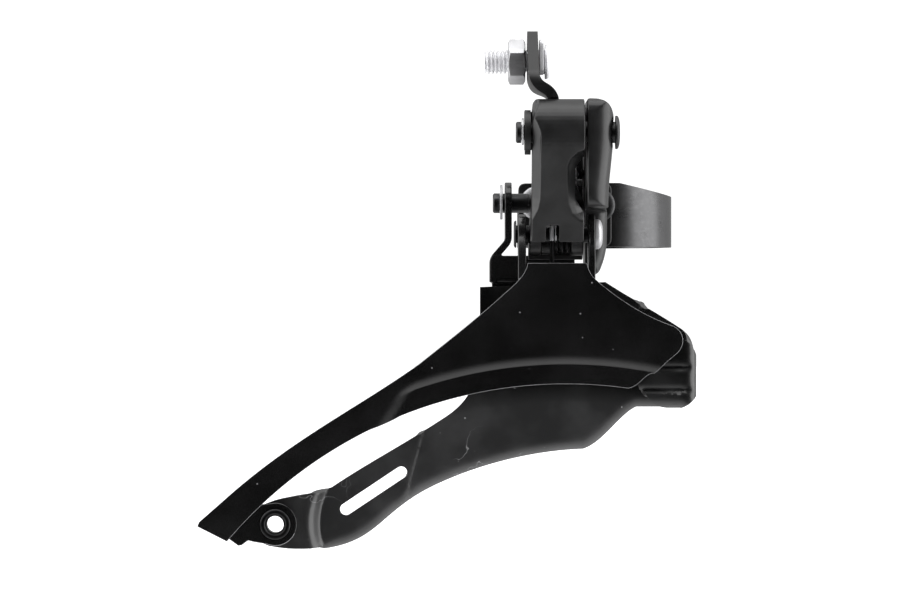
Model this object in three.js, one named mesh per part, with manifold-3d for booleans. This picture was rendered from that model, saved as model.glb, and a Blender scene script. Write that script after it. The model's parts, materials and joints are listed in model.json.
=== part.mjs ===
// A bottom-pull front derailleur for a bicycle, in millimetres.
// +X points forward, -Y points to the drive side, +Z up; the origin is on the seat tube's axis.
import * as THREE from 'three';
import { mergeVertices } from 'three/addons/utils/BufferGeometryUtils.js';
import Module from 'manifold-3d';

const wasm = await Module();
wasm.setup();

// Pivots of the four-bar linkage, as [y, z].
const A = [-50.5, 15.8]; // outer link on the bracket
const B = [-41.0, 19.5]; // inner link on the bracket
const C = [-41.5, -4.1]; // outer link on the cage
const D = [-31.5, 2.3]; // inner link on the cage
const LINK_LENGTH = Math.hypot(C[0] - A[0], C[1] - A[1]);
const LINK_TILT = Math.atan2(C[0] - A[0], A[1] - C[1]);

// Sheet thicknesses and clearances.
const PLATE = 1.2;
const GAP = 0.3;

// Seat tube clamp.
const TUBE_R = 14.5;
const BAND_R = 16.1;
const BAND_NEAR_X = 4.8;
const BAND_LOW = -6.2;
const BAND_HIGH = 6.85;
const BAND_HIGH_FRONT = 4.1;
const LUG_OUT = 24;
const LUG_INNER_X = 1.3;
const LUG_OUTER_X = 3.1;
const CLAMP_Y = 20;
const FLANGE_Y = [-18.6, -16.4];
const RIVETS = [[-12.2, 2.6], [0.2, 2.2]];

// Bracket arm that carries the linkage.
const ARM_X = [-3.0, 2.3];
const ARM_TOP = 22.5;

// Outer link.
const LINK_X = [-13.8, -3.5];
const LINK_TOP_R = 6.6;
const LINK_LOW_R = 5.6;
const LINK_WALL = 1.6;

// Inner link.
const INNER_X = [-6.8, -4.6];

// Cable arm and its clamp bolt.
const BOLT = [-30.5, 30.8];
const ARM_END_R = 6.2;
const EAR_X = [-15.25, -14.1];
const EAR_BACK = [-43.4, -42.2];

// Cage.
const OUTER_Y = -47.6;
const JOG = 1.3;
const TOOTH_ARC = { x: -7.0, z: -121.7, r: 87.85 };
const JOG_R = 92.2;
const JOG_TOP = 93.5;
const EAR_R = 4;
const EYELET = [-64.9, -62.0];
const LUG_Y = [-39.2, -38.0];
const INNER_Y = -34.0;
const FRONT_X = 18.6;
const TAB_Y = -44.2;
const RIM = 1.3;
const RIM_DEPTH = 2.6;
const JOIN_RIVETS = [[-16, -19.5], [-8.5, -19.5]];

// Return spring round the lower pivot.
const SPRING = {
  x: [-6.7, -9.8], coilR: 3.3, wireR: 0.45, turns: 3, upperLeg: 5.5, lowerLeg: 7, legShare: 0.12,
};

const paint = new THREE.MeshStandardMaterial({ color: 0x0b0b0c, roughness: 0.32, metalness: 0.2 });
const resin = new THREE.MeshStandardMaterial({ color: 0x151516, roughness: 0.55, metalness: 0 });
const darkSteel = new THREE.MeshStandardMaterial({ color: 0x2a2a2c, roughness: 0.4, metalness: 0.8 });
const zinc = new THREE.MeshStandardMaterial({ color: 0xb9bbbd, roughness: 0.35, metalness: 1 });

// ---- outlines -------------------------------------------------------------------------------

// A closed outline through corners [u, v] or [u, v, radius]; a radius rounds its corner.
function outline(corners) {
  const shape = new THREE.Shape();
  const count = corners.length;
  corners.forEach((corner, i) => {
    const at = new THREE.Vector2(corner[0], corner[1]);
    const before = new THREE.Vector2(...corners[(i + count - 1) % count].slice(0, 2));
    const after = new THREE.Vector2(...corners[(i + 1) % count].slice(0, 2));
    const radius = corner[2] ?? 0;
    const back = before.sub(at).setLength(radius).add(at);
    const onward = after.sub(at).setLength(radius).add(at);
    if (i === 0) shape.moveTo(back.x, back.y);
    else shape.lineTo(back.x, back.y);
    if (radius > 0) shape.quadraticCurveTo(at.x, at.y, onward.x, onward.y);
  });
  shape.closePath();
  return shape;
}

function disc(u, v, radius) {
  return new THREE.Shape().absarc(u, v, radius, 0, 2 * Math.PI, false);
}

// The belt-shaped outline round two circles.
function belt(a, ra, b, rb) {
  const along = Math.atan2(b[1] - a[1], b[0] - a[0]);
  const open = Math.acos((ra - rb) / Math.hypot(b[0] - a[0], b[1] - a[1]));
  const shape = new THREE.Shape();
  shape.absarc(a[0], a[1], ra, along + open, along - open + 2 * Math.PI, false);
  shape.absarc(b[0], b[1], rb, along - open, along + open, false);
  shape.closePath();
  return shape;
}

// A strip of sheet bent along a line: its centre line's corners are rounded, then it is given thickness.
function bentStrip(points, bend, thickness) {
  const path = new THREE.CurvePath();
  let from = new THREE.Vector2(...points[0]);
  for (let i = 1; i < points.length - 1; i += 1) {
    const at = new THREE.Vector2(...points[i]);
    const enter = new THREE.Vector2(...points[i - 1]).sub(at).setLength(bend).add(at);
    const leave = new THREE.Vector2(...points[i + 1]).sub(at).setLength(bend).add(at);
    path.add(new THREE.LineCurve(from, enter));
    path.add(new THREE.QuadraticBezierCurve(enter, at, leave));
    from = leave;
  }
  path.add(new THREE.LineCurve(from, new THREE.Vector2(...points.at(-1))));
  const line = path.getPoints(5).filter((p, i, all) => i === 0 || p.distanceTo(all[i - 1]) > 1e-6);
  const side = (half) => line.map((p, i) => {
    const dir = line[Math.min(i + 1, line.length - 1)].clone().sub(line[Math.max(i - 1, 0)]).normalize();
    return new THREE.Vector2(p.x - dir.y * half, p.y + dir.x * half);
  });
  return new THREE.Shape([...side(thickness / 2), ...side(-thickness / 2).reverse()]);
}

// ---- solids ---------------------------------------------------------------------------------

function solid(geometry) {
  const bare = geometry.clone();
  bare.deleteAttribute('normal');
  bare.deleteAttribute('uv');
  const merged = mergeVertices(bare, 1e-4);
  return new wasm.Manifold(new wasm.Mesh({
    numProp: 3,
    vertProperties: new Float32Array(merged.attributes.position.array),
    triVerts: new Uint32Array(merged.index.array),
  }));
}

function extrude(shape, depth, segments = 6) {
  return new THREE.ExtrudeGeometry(shape, { depth, bevelEnabled: false, curveSegments: segments });
}

// Outlines drawn as (y, z), (x, z) and (x, y), swept along the third axis.
function alongX(shape, x0, x1, segments) {
  const frame = new THREE.Matrix4().makeBasis(
    new THREE.Vector3(0, 1, 0), new THREE.Vector3(0, 0, 1), new THREE.Vector3(1, 0, 0),
  ).setPosition(x0, 0, 0);
  return solid(extrude(shape, x1 - x0, segments).applyMatrix4(frame));
}

function alongY(shape, y0, y1, segments) {
  const frame = new THREE.Matrix4().makeBasis(
    new THREE.Vector3(1, 0, 0), new THREE.Vector3(0, 0, 1), new THREE.Vector3(0, -1, 0),
  ).setPosition(0, y1, 0);
  return solid(extrude(shape, y1 - y0, segments).applyMatrix4(frame));
}

function alongZ(shape, z0, z1, segments) {
  return solid(extrude(shape, z1 - z0, segments).translate(0, 0, z0));
}

function block(x, y, z) {
  const box = new THREE.BoxGeometry(x[1] - x[0], y[1] - y[0], z[1] - z[0]);
  return solid(box.translate((x[0] + x[1]) / 2, (y[0] + y[1]) / 2, (z[0] + z[1]) / 2));
}

function join(...pieces) {
  return pieces.reduce((all, piece) => all.add(piece));
}

function cut(body, ...tools) {
  return tools.reduce((left, tool) => left.subtract(tool), body);
}

// A turned piece along X, from [x, radius] steps; the pivot is at [y, z].
function turnedX(steps, pivot, segments = 20) {
  const profile = [[steps[0][0], 0], ...steps, [steps.at(-1)[0], 0]];
  const lathe = new THREE.LatheGeometry(profile.map(([x, r]) => new THREE.Vector2(r, x)), segments);
  return solid(lathe.rotateZ(-Math.PI / 2).translate(0, pivot[0], pivot[1]));
}

function holeX(pivot, radius, x0 = -40, x1 = 40) {
  return alongX(disc(pivot[0], pivot[1], radius), x0, x1, 8);
}

function holeY(at, radius, y0 = -60, y1 = 10) {
  return alongY(disc(at[0], at[1], radius), y0, y1, 7);
}

// ---- groups and meshes ----------------------------------------------------------------------

const derailleur = new THREE.Group();
const bracketGroup = new THREE.Group();
const outerLinkGroup = new THREE.Group();
const innerLinkGroup = new THREE.Group();
const cageGroup = new THREE.Group();
derailleur.add(bracketGroup, outerLinkGroup, innerLinkGroup, cageGroup);

function addMesh(parent, name, body, material) {
  const { numProp, vertProperties, triVerts } = body.getMesh();
  const positions = new Float32Array((vertProperties.length / numProp) * 3);
  for (let i = 0; i < positions.length / 3; i += 1) {
    positions.set(vertProperties.subarray(i * numProp, i * numProp + 3), i * 3);
  }
  const geometry = new THREE.BufferGeometry();
  geometry.setAttribute('position', new THREE.BufferAttribute(positions, 3));
  geometry.setIndex(new THREE.BufferAttribute(new Uint32Array(triVerts), 1));
  geometry.computeVertexNormals();
  const mesh = new THREE.Mesh(geometry, material);
  mesh.name = name;
  parent.add(mesh);
  return mesh;
}

// ---- seat tube clamp ------------------------------------------------------------------------

// A steel strap round the tube, flat where the bracket lies on it, with two lugs behind.
function clampBand() {
  const high = 12;
  const round = alongZ(disc(0, 0, BAND_R), -high, high, 28);
  const nearFlat = alongZ(outline([
    [-BAND_R, -BAND_R, 2.5], [BAND_NEAR_X, -BAND_R, 1], [BAND_NEAR_X, -3], [-BAND_R, -1],
  ]), -high, high);
  const lugs = block([-LUG_OUTER_X, LUG_OUTER_X], [13, LUG_OUT], [BAND_LOW, BAND_HIGH]);
  const bore = alongZ(disc(0, 0, TUBE_R), -high - 1, high + 1, 28);
  const corner = alongZ(outline([
    [-TUBE_R, -BAND_R + 1.5, 1.5], [-4, -BAND_R + 1.5], [-4, -6], [-TUBE_R, -1],
  ]), -high - 1, high + 1);
  const split = block([-LUG_INNER_X, LUG_INNER_X], [10, LUG_OUT + 1], [-high, high]);
  const side = alongY(outline([
    [-17, BAND_LOW], [17, BAND_LOW], [17, BAND_HIGH_FRONT], [BAND_NEAR_X, BAND_HIGH],
    [-9, BAND_HIGH], [-17, BAND_HIGH_FRONT],
  ]), -20, LUG_OUT + 2);
  const lugRound = join(
    alongX(outline([
      [10, BAND_LOW - 1], [LUG_OUT, BAND_LOW - 1, 5], [LUG_OUT, BAND_HIGH + 1, 5], [10, BAND_HIGH + 1],
    ]), -20, 20),
    block([-20, 20], [-20, 10.5], [-high, high]),
  );
  const strap = cut(join(round, nearFlat, lugs), bore, corner, split);
  const holes = [holeX([CLAMP_Y, 0], 2.9), ...RIVETS.map((at) => holeY(at, 1.9, -30, -8))];
  return cut(strap.intersect(side).intersect(lugRound), ...holes);
}

// A rivet with a round head on the drive side, its far end flush in the strap.
function bandRivet(at) {
  const head = alongY(disc(at[0], at[1], 3.5), -20.0, -18.9, 12);
  const shank = alongY(disc(at[0], at[1], 1.6), -19.5, -14.9, 8);
  return join(head, shank);
}

const clampHead = turnedX([[3.4, 4.6], [4.2, 4.6], [4.2, 4.0], [8.0, 4.0]], [CLAMP_Y, 0], 6);
const clampShank = turnedX([[-9.5, 2.5], [3.6, 2.5]], [CLAMP_Y, 0], 16);
const clampNut = cut(
  turnedX([[-7.8, 4.6], [-3.8, 4.6]], [CLAMP_Y, 0], 6),
  holeX([CLAMP_Y, 0], 2.8),
);

addMesh(bracketGroup, 'clamp_band', clampBand(), darkSteel);
addMesh(bracketGroup, 'clamp_bolt', join(clampHead, clampShank), zinc);
addMesh(bracketGroup, 'clamp_nut', clampNut, zinc);
addMesh(bracketGroup, 'band_rivet_rear', bandRivet(RIVETS[0]), zinc);
addMesh(bracketGroup, 'band_rivet_front', bandRivet(RIVETS[1]), darkSteel);

// ---- bracket and its pins -------------------------------------------------------------------

const SCREWS = { low: [-5.5, -28.7], high: [-0.3, -25.2] };
const SCREW_TIP = 7.4;
const SCREW_HEAD = [15.8, 18.0];

function bracket() {
  const flange = alongY(outline([
    [-16.1, -6.1, 1.5], [3.0, -6.1, 1.5], [3.0, 6.7, 1.5], [-16.1, 6.7, 1.5],
  ]), ...FLANGE_Y);
  const neck = block([-8.4, -3.7], [-27.5, -18.0], [-5.8, 9.5]);
  const root = block([-8.4, ARM_X[0] + 1], [-27.5, -21.6], [-5.8, 9.5]);
  const side = alongX(outline([
    [-55.2, 1.0, 3], [-35.3, 1.0, 0.6], [-35.3, -12.1, 3.5], [-24.5, -12.1, 2], [-21.6, -8, 1],
    [-21.6, 15.4, 2], [-31, 15.4, 1], [-35, ARM_TOP, 3], [-55.2, ARM_TOP, 3.5],
  ]), ...ARM_X);
  const front = alongY(outline([
    [ARM_X[0], -12.3, 1], [-0.2, -12.3, 1.6], [1.5, -7.5, 2.5], [1.6, 0.4], [1.2, 1.3], [1.3, 5, 2.5],
    [ARM_X[1], 15, 2.5], [ARM_X[1], ARM_TOP, 4.4], [ARM_X[0], ARM_TOP, 0.5],
  ]), -60, -10);
  const boss = block([-8.0, ARM_X[1] - 0.5], [-31.2, -21.6], [9.0, 15.4]);
  const bores = [
    holeX(A, 2.35, ARM_X[0] - 1, ARM_X[1] + 1),
    holeX(B, 1.9, ARM_X[0] - 1, ARM_X[1] - 0.9),
    ...Object.values(SCREWS).map(([x, y]) => alongZ(disc(x, y, 1.85), 0, 20, 8)),
    ...RIVETS.map((at) => holeY(at, 1.9, -20, -10)),
  ];
  return cut(join(side.intersect(front), flange, neck, root, boss), ...bores);
}

function limitScrew() {
  const body = new THREE.LatheGeometry([
    [0, SCREW_TIP], [1.1, SCREW_TIP], [1.55, SCREW_TIP + 0.5], [1.55, SCREW_HEAD[0]],
    [2.4, SCREW_HEAD[0]], [2.4, SCREW_HEAD[1] - 0.5], [1.7, SCREW_HEAD[1]], [0, SCREW_HEAD[1]],
  ].map(([r, z]) => new THREE.Vector2(r, z)), 16).rotateX(Math.PI / 2);
  const slots = [block([-0.35, 0.35], [-3, 3], [17, 19]), block([-3, 3], [-0.35, 0.35], [17, 19])];
  return cut(solid(body), ...slots);
}

// A spring clip: a thin ring with a mouth, standing in a groove of its pin.
function clip(x, pivot, inner, outer) {
  const ring = cut(alongX(disc(...pivot, outer), x[0], x[1], 10), holeX(pivot, inner));
  return cut(ring, block([x[0] - 1, x[1] + 1], [pivot[0] - 0.9, pivot[0] + 0.9], [pivot[1] - 9, pivot[1]]));
}

const upperPin = turnedX([
  [-17.0, 1.9], [-16.7, 2.1], [-15.95, 2.1], [-15.95, 1.5], [-15.35, 1.5], [-15.35, 2.1],
  [2.6, 2.1], [2.6, 3.3], [3.2, 3.3], [3.5, 2.6],
], A);
const innerPin = turnedX([
  [-7.95, 1.5], [-7.55, 1.6], [-7.55, 1.1], [-7.05, 1.1], [-7.05, 1.6], [1.0, 1.6],
], B);
const bush = cut(turnedX([[-13.3, 3.05], [-4.0, 3.05]], A, 20), holeX(A, 2.35));

addMesh(bracketGroup, 'bracket', bracket(), resin);
addMesh(bracketGroup, 'upper_pivot_pin', upperPin, darkSteel);
addMesh(bracketGroup, 'upper_pin_clip', clip([-15.85, -15.45], A, 1.75, 3.3), zinc);
addMesh(bracketGroup, 'inner_pivot_pin', innerPin, darkSteel);
addMesh(bracketGroup, 'inner_pin_clip', clip([-7.5, -7.1], B, 1.35, 2.5), zinc);
for (const [name, [x, y]] of Object.entries(SCREWS)) {
  addMesh(bracketGroup, `${name}_limit_screw`, limitScrew(), zinc).position.set(x, y, 0);
}

// ---- outer link -----------------------------------------------------------------------------

// The link hangs from its upper pivot in its own frame; the group leans it inboard.
const LOW = [0, -LINK_LENGTH];

function outerLink() {
  const open = [LINK_X[0] + LINK_WALL, LINK_X[1] - LINK_WALL];
  const side = join(
    alongX(belt([0, 0], LINK_TOP_R, LOW, LINK_LOW_R), ...LINK_X, 12)
      .subtract(block([-20, 0], [3, 12], [-LINK_LENGTH, 0])),
    alongX(disc(...LOW, LINK_LOW_R), LINK_X[0] - 0.7, LINK_X[1], 12),
  );
  const front = alongY(outline([
    [LINK_X[0] - 0.7, -28, 0.8], [LINK_X[1], -28, 0.8], [LINK_X[1], 8, 1.2], [LINK_X[0], 8, 5.5],
    [LINK_X[0], -15],
  ]), -12, 12);
  const hollow = join(
    alongX(belt([0, 0], LINK_TOP_R - LINK_WALL, LOW, LINK_LOW_R - 1.2), ...open, 10),
    block(open, [0, 12], [-LINK_LENGTH, -1]),
  );
  const barrel = alongX(disc(0, 0, 4.6), ...LINK_X, 12);
  const knuckles = join(
    alongX(disc(...LOW, 4.6), LINK_X[0] + 1, -11.9, 12),
    alongX(disc(...LOW, 4.6), -5.9, LINK_X[1] - 1, 12),
  );
  const window = alongY(outline([
    [0, -3.6], [-3.9, -3.6], [-5.35, -5.6], [-5.05, -12.2], [-3.5, -15.4], [0, -15.4],
  ]), -12, 12);
  const slot = block([-11.0, -8.4], [-12, -3], [-30, -17.5]);
  const innerLinkPath = block([-7.3, 0], [4.3, 12], [-LINK_LENGTH, 8]);
  return cut(
    join(side.intersect(front).subtract(hollow), barrel, knuckles),
    window, slot, innerLinkPath, holeX([0, 0], 3.3), holeX(LOW, 2.05),
  );
}

outerLinkGroup.position.set(0, A[0], A[1]);
outerLinkGroup.rotation.x = LINK_TILT;
addMesh(outerLinkGroup, 'outer_link', outerLink(), resin);
addMesh(derailleur, 'upper_pivot_bush', bush, zinc);

// ---- cable arm, riding on the outer link ----------------------------------------------------

const cableArmGroup = new THREE.Group();
derailleur.add(cableArmGroup);

function cableArm() {
  const [armX, topX] = [-13.4, -9.4];
  const strip = alongY(bentStrip([[armX, 40], [armX, 25.7], [topX, 23.5], [topX, 16]], 2, 2.1), -60, -20);
  const reach = join(
    alongX(belt(BOLT, ARM_END_R, [-47.5, 25.4], 3.4), -20, 0, 12),
    block([-20, 0], [-50.5, EAR_BACK[1]], [17, 26]),
  );
  const ear = join(
    alongX(disc(...A, 4.4), ...EAR_X, 12),
    block(EAR_X, [A[0], EAR_BACK[1]], [12.6, 20.2]),
  );
  const web = block([EAR_X[0], topX + 1], EAR_BACK, [12.6, 20.2]);
  const linkTop = alongX(disc(...A, LINK_TOP_R + GAP), -14.0, 0, 16);
  const arm = join(strip.intersect(reach), web).subtract(linkTop);
  return cut(join(arm, ear), holeX(BOLT, 2.8), holeX(A, 2.45));
}

const cableBolt = turnedX([
  [-23.2, 1.9], [-22.7, 2.45], [-10.9, 2.45], [-10.9, 3.5], [-10.1, 3.3],
], BOLT, 16);
const cableNut = cut(turnedX([[-18.3, 4.3], [-18.0, 4.62], [-15.1, 4.62], [-14.8, 4.3]], BOLT, 6),
  holeX(BOLT, 2.75));
const cablePlate = cut(
  alongX(outline([
    [BOLT[0] - 4.6, BOLT[1] - 2.5, 1], [BOLT[0] + 4.2, BOLT[1] - 2.5, 1],
    [BOLT[0] + 4.2, BOLT[1] + 4.4, 1.5], [BOLT[0] - 4.6, BOLT[1] + 4.4, 1.5],
  ]), -12.0, -11.2),
  holeX(BOLT, 2.8),
  block([-13, -10], [BOLT[0] - 2, BOLT[0] + 2], [BOLT[1] - 4, BOLT[1]]),
);

addMesh(cableArmGroup, 'cable_arm', cableArm(), darkSteel);
addMesh(cableArmGroup, 'cable_bolt', cableBolt, zinc);
addMesh(cableArmGroup, 'cable_nut', cableNut, zinc);
addMesh(cableArmGroup, 'cable_plate', cablePlate, zinc);

// ---- inner link -----------------------------------------------------------------------------

function innerLink() {
  const plate = alongX(belt(B, 3.0, D, 3.3), ...INNER_X, 10);
  const tab = block([INNER_X[0], -3.4], [-32.2, -28.0], [5.7, 7.1]);
  return cut(join(plate, tab), holeX(B, 1.9), holeX(D, 2.5));
}

addMesh(innerLinkGroup, 'inner_link', innerLink(), zinc);

// ---- cage: outer plate ----------------------------------------------------------------------

// The plate's outline: straight neck, swept tail, and the long arc that follows the big ring.
function outerPlateOutline() {
  const shape = new THREE.Shape();
  shape.moveTo(-14.6, -9.9);
  shape.bezierCurveTo(-14.9, -12.4, -17.5, -14.4, -19.3, -16.0);
  shape.bezierCurveTo(-25, -21.2, -31.5, -26.2, -36, -29.8);
  shape.bezierCurveTo(-48, -38.4, -61, -44.5, -74.6, -56.7);
  shape.lineTo(-79.6, -61.1);
  shape.lineTo(-80.0, -62.0);
  shape.lineTo(-74.1, -65.0);
  const { x, z, r } = TOOTH_ARC;
  shape.absarc(x, z, r, Math.atan2(-65.0 - z, -74.1 - x), Math.atan2(-34.7 - z, 5.4 - x), true);
  shape.bezierCurveTo(7.8, -34.2, 8.2, -32.1, 10.5, -31.5);
  shape.lineTo(15.0, -27.7);
  shape.bezierCurveTo(16.8, -26.0, 16.3, -23.4, 14.3, -22.4);
  shape.bezierCurveTo(8.5, -20.4, 3.5, -17.2, -1.1, -13.2);
  shape.bezierCurveTo(-2.3, -12.2, -2.6, -11, -2.9, -9.9);
  shape.closePath();
  return shape;
}

// One ear of the neck, bent inboard round the lower pivot.
function ear(x0, x1, low) {
  const shape = new THREE.Shape();
  shape.moveTo(OUTER_Y, low);
  shape.lineTo(OUTER_Y, -9.2);
  shape.bezierCurveTo(OUTER_Y + 0.5, -7, C[0] - 5.2, -6, C[0] - EAR_R, C[1]);
  shape.absarc(C[0], C[1], EAR_R, Math.PI, 0, true);
  shape.bezierCurveTo(C[0] + EAR_R, -8, C[0] - 1, -10, OUTER_Y + 2.5, low);
  shape.closePath();
  return alongX(shape, x0, x1, 10);
}

function outerPlate() {
  const whole = outerPlateOutline();
  const { x, z } = TOOTH_ARC;
  const below = (radius) => alongY(disc(x, z, radius), -60, -30, 36);
  const forward = (more) => alongY(outline([
    [-43.5 - more, -42], [-38.2 - more, -34], [10.8, -20], [10.8, -60], [-43.5 - more, -60],
  ]), -60, -30);
  const lipZone = (radius, more = 0) => below(radius).intersect(forward(more));
  const face = alongY(whole, OUTER_Y, OUTER_Y + PLATE, 12).subtract(lipZone(JOG_R));
  const lip = alongY(whole, OUTER_Y + JOG, OUTER_Y + JOG + PLATE, 12).intersect(lipZone(JOG_TOP));
  const step = alongY(whole, OUTER_Y + 0.1, OUTER_Y + JOG + PLATE, 12)
    .intersect(lipZone(JOG_TOP, 1)).subtract(lipZone(JOG_R));
  const tailWall = alongY(outline([
    [-80.0, -62.0], [-74.1, -65.0], [-73.6, -64.1], [-79.4, -60.9],
  ]), OUTER_Y, LUG_Y[1]);
  const lug = join(
    alongY(outline([
      [-79.9, -61.9], [-74.1, -65.0], [-72.3, -66.3, 0.8], [-70.3, -65.2, 0.8], [-67.6, -66.2],
      [-64.9, -66.3], [-64.9, -57.7], [-70, -58.4, 3], [-76.2, -59.4],
    ]), ...LUG_Y),
    alongY(disc(...EYELET, 4.3), ...LUG_Y, 14),
  );
  return cut(
    join(face, lip, step, tailWall, lug, ear(-16.5, -14.9, -15.2), ear(-2.6, -1.2, -14.2)),
    holeX(C, 2.05), holeY(EYELET, 2.8, -41, -30),
  );
}

// ---- cage: inner plate ----------------------------------------------------------------------

function innerPlateOutline() {
  const shape = new THREE.Shape();
  shape.moveTo(-66.5, -57.8);
  shape.bezierCurveTo(-63, -56.2, -58, -56.4, -53.8, -54.8);
  shape.bezierCurveTo(-47, -50.2, -40, -46.6, -32.2, -41.5);
  shape.bezierCurveTo(-28.4, -39.2, -26.6, -37.2, -25.2, -34);
  shape.lineTo(-24, -21);
  shape.lineTo(-24, -14.6);
  shape.lineTo(1.1, -13.6);
  shape.bezierCurveTo(6, -16.8, 12, -20, 16.3, -22.9);
  shape.bezierCurveTo(18.4, -24.2, 19.2, -26, 19.2, -27.6);
  shape.lineTo(19.2, -35.8);
  shape.bezierCurveTo(19.0, -37.6, 18.4, -38.1, 17, -38.1);
  shape.lineTo(7.4, -38.1);
  shape.bezierCurveTo(4, -39.4, 0.5, -45.4, -3.3, -46.6);
  shape.bezierCurveTo(-12, -46.9, -22, -49, -31.2, -53);
  shape.bezierCurveTo(-44, -58.4, -44, -64.5, -53.8, -66.4);
  shape.bezierCurveTo(-57, -67.3, -61, -67.6, -66.2, -66.4);
  shape.absarc(EYELET[0], EYELET[1], 4.6, -1.86, -4.36, true);
  shape.closePath();
  return shape;
}

function innerPlate() {
  const whole = innerPlateOutline();
  const bends = [
    [-70, -37.0], [-60.5, -37.0], [-56.5, INNER_Y], [FRONT_X, INNER_Y], [FRONT_X, TAB_Y], [9.5, TAB_Y],
  ];
  const strip = alongZ(bentStrip(bends, 1.6, PLATE), -70, -10);
  const side = alongY(whole, -50, -30, 9);
  const overTab = alongY(outline([
    [7, -38.1], [22, -38.1], [22, -20], [14, -21.6], [9, -24.5],
  ]), -50, -36.5);
  const rimSide = alongY(whole, INNER_Y - PLATE / 2, INNER_Y + RIM_DEPTH, 9);
  const rim = rimSide.subtract(rimSide.translate([0, 0, RIM]))
    .intersect(block([-55, 17.6], [-50, -20], [-70, -36]));
  const slot = alongY(belt([-50.9, -59.2], 1.2, [-39.8, -51.8], 1.2), -40, -30, 8);
  const nearWhole = block([-90, 25], [-36.5, -25], [-80, 0]);
  const plate = join(strip.intersect(side).intersect(join(nearWhole, overTab)), rim);
  const rivetHoles = JOIN_RIVETS.map((at) => holeY(at, 1.5, -40, -30));
  return cut(plate, slot, holeY(EYELET, 2.8, -41, -30), ...rivetHoles);
}

// ---- cage: link bracket and fasteners -------------------------------------------------------

// A pressed bracket: an eye for the inner link's pin, and a base that jogs in behind the inner plate.
function linkBracket() {
  const kinkLine = [[-18.3, 8], [-18.3, -5.4], [-21.4, -9], [-21.4, -13.8]];
  const kink = alongY(bentStrip(kinkLine, 0.8, 1.4), -37, -26);
  const eyeSide = join(
    alongX(disc(...D, 4.2), -30, 0, 12),
    alongX(outline([
      [-35.9, -13.65], [-35.9, -9, 1], [D[0] - 4.2, -1], [D[0] - 4.2, D[1]],
      [D[0] + 4.2, D[1]], [D[0] + 3, -6], [-31.0, -13.65],
    ]), -30, 0),
  );
  const baseLine = [[-35.4, -8.3], [-35.4, -13.2], [-32.0, -13.2], [-32.0, -25]];
  const base = alongX(bentStrip(baseLine, 0.7, PLATE), -21.6, -5);
  return cut(
    join(kink.intersect(eyeSide), base),
    holeX(D, 2.25),
    ...JOIN_RIVETS.map((at) => holeY(at, 1.5, -40, -28)),
  );
}

function joinRivet(at) {
  return join(
    alongY(disc(...at, 2.1), -35.8, -34.9, 10),
    alongY(disc(...at, 1.2), -35.5, -30.6, 8),
    alongY(disc(...at, 1.9), -31.1, -30.4, 10),
  );
}

function eyelet() {
  const body = join(
    alongY(disc(...EYELET, 3.07), -39.95, -39.5, 14),
    alongY(disc(...EYELET, 2.5), -39.7, -35.9, 14),
    alongY(disc(...EYELET, 3.1), -36.1, -35.6, 14),
  );
  return cut(body, holeY(EYELET, 1.7, -50, -30));
}

const lowerPin = turnedX([
  [-17.3, 2.4], [-16.8, 2.7], [-16.8, 1.75], [-0.9, 1.75], [-0.9, 3.0], [0.1, 2.9], [0.4, 2.2],
], C);
const cagePin = turnedX([
  [-21.4, 1.8], [-21.2, 2.0], [-20.0, 2.0], [-20.0, 1.4], [-19.4, 1.4], [-19.4, 1.95],
  [-4.3, 1.95], [-4.3, 2.6], [-3.5, 2.4],
], D);

addMesh(cageGroup, 'outer_plate', outerPlate(), paint);
addMesh(cageGroup, 'inner_plate', innerPlate(), paint);
addMesh(cageGroup, 'link_bracket', linkBracket(), paint);
addMesh(cageGroup, 'bracket_rivet_rear', joinRivet(JOIN_RIVETS[0]), darkSteel);
addMesh(cageGroup, 'bracket_rivet_front', joinRivet(JOIN_RIVETS[1]), darkSteel);
addMesh(cageGroup, 'tail_eyelet', eyelet(), darkSteel);
addMesh(cageGroup, 'lower_pivot_pin', lowerPin, zinc);
addMesh(cageGroup, 'cage_pivot_pin', cagePin, darkSteel);
addMesh(cageGroup, 'cage_pin_clip', clip([-19.95, -19.45], D, 1.65, 3.7), zinc);

// ---- return spring --------------------------------------------------------------------------

// A torsion coil round the lower pivot; one leg lies up in the link, the other on the outer plate's neck.
class SpringLine extends THREE.Curve {
  getPoint(t) {
    const start = Math.PI + LINK_TILT;
    const s = THREE.MathUtils.clamp((t - SPRING.legShare) / (1 - 2 * SPRING.legShare), 0, 1);
    const angle = start + s * (SPRING.turns * 2 * Math.PI - LINK_TILT);
    const upperLeg = Math.max(0, 1 - t / SPRING.legShare) * SPRING.upperLeg;
    const lowerLeg = Math.max(0, 1 - (1 - t) / SPRING.legShare) * SPRING.lowerLeg;
    const along = lowerLeg - upperLeg;
    return new THREE.Vector3(
      THREE.MathUtils.lerp(SPRING.x[0], SPRING.x[1], s),
      C[0] + SPRING.coilR * Math.cos(angle) - along * Math.sin(angle),
      C[1] + SPRING.coilR * Math.sin(angle) + along * Math.cos(angle),
    );
  }
}

const wire = new THREE.ExtrudeGeometry(disc(0, 0, SPRING.wireR), {
  steps: 56, curveSegments: 3, bevelEnabled: false, extrudePath: new SpringLine(),
});
addMesh(derailleur, 'return_spring', solid(wire), zinc);

export default derailleur;
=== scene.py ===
"""A bicycle's front derailleur in a white studio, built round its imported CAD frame."""
import json
import math

import bmesh
import bpy
from mathutils import Matrix, Vector, geometry, kdtree


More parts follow.
